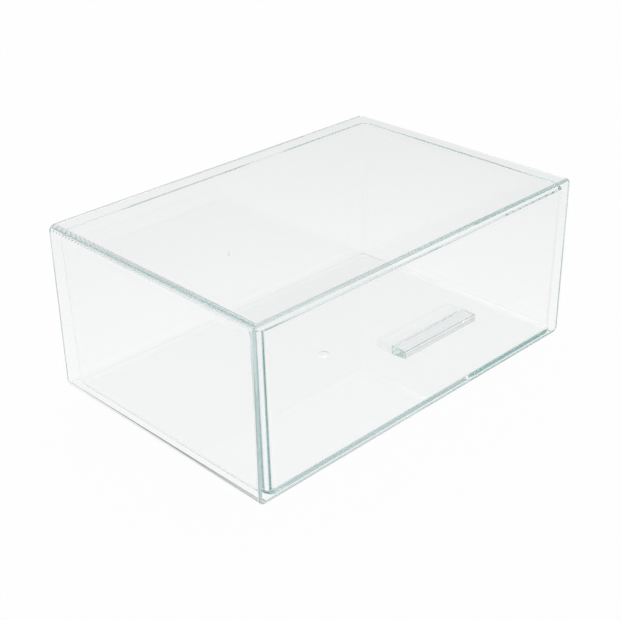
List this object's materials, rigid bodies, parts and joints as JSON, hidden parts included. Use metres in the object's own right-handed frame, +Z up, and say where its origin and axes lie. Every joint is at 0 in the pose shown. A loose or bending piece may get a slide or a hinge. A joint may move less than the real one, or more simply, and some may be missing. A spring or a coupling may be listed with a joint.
{
  "type": "storage drawer unit",
  "caption": "Clear moulded storage box: an open-fronted rounded case holding a full-size pull-out tray with a clear bar handle bonded to its flush front.",
  "frame": {"origin": "middle of the flat face that the case stands on", "axes": "-Y out of the front, the way the drawer pulls; X along the width; +Z up"},
  "size_m": [0.305, 0.2141, 0.1243],
  "materials": {
    "case_plastic": "clear moulded polystyrene, glossy, faint green at its edges",
    "drawer_plastic": "clear moulded polystyrene, glossy, faint green at its edges",
    "handle_plastic": "clear cast bar, glossy, green at its ends"
  },
  "bodies": {
    "case": {"case": "case_plastic"},
    "drawer": {"drawer": "drawer_plastic", "handle": "handle_plastic"}
  },
  "joints": [
    {"name": "drawer_slide", "type": "slide", "parent": "case", "child": "drawer", "axis": [0, -1, 0], "range_m": [0, 0.19]}
  ]
}
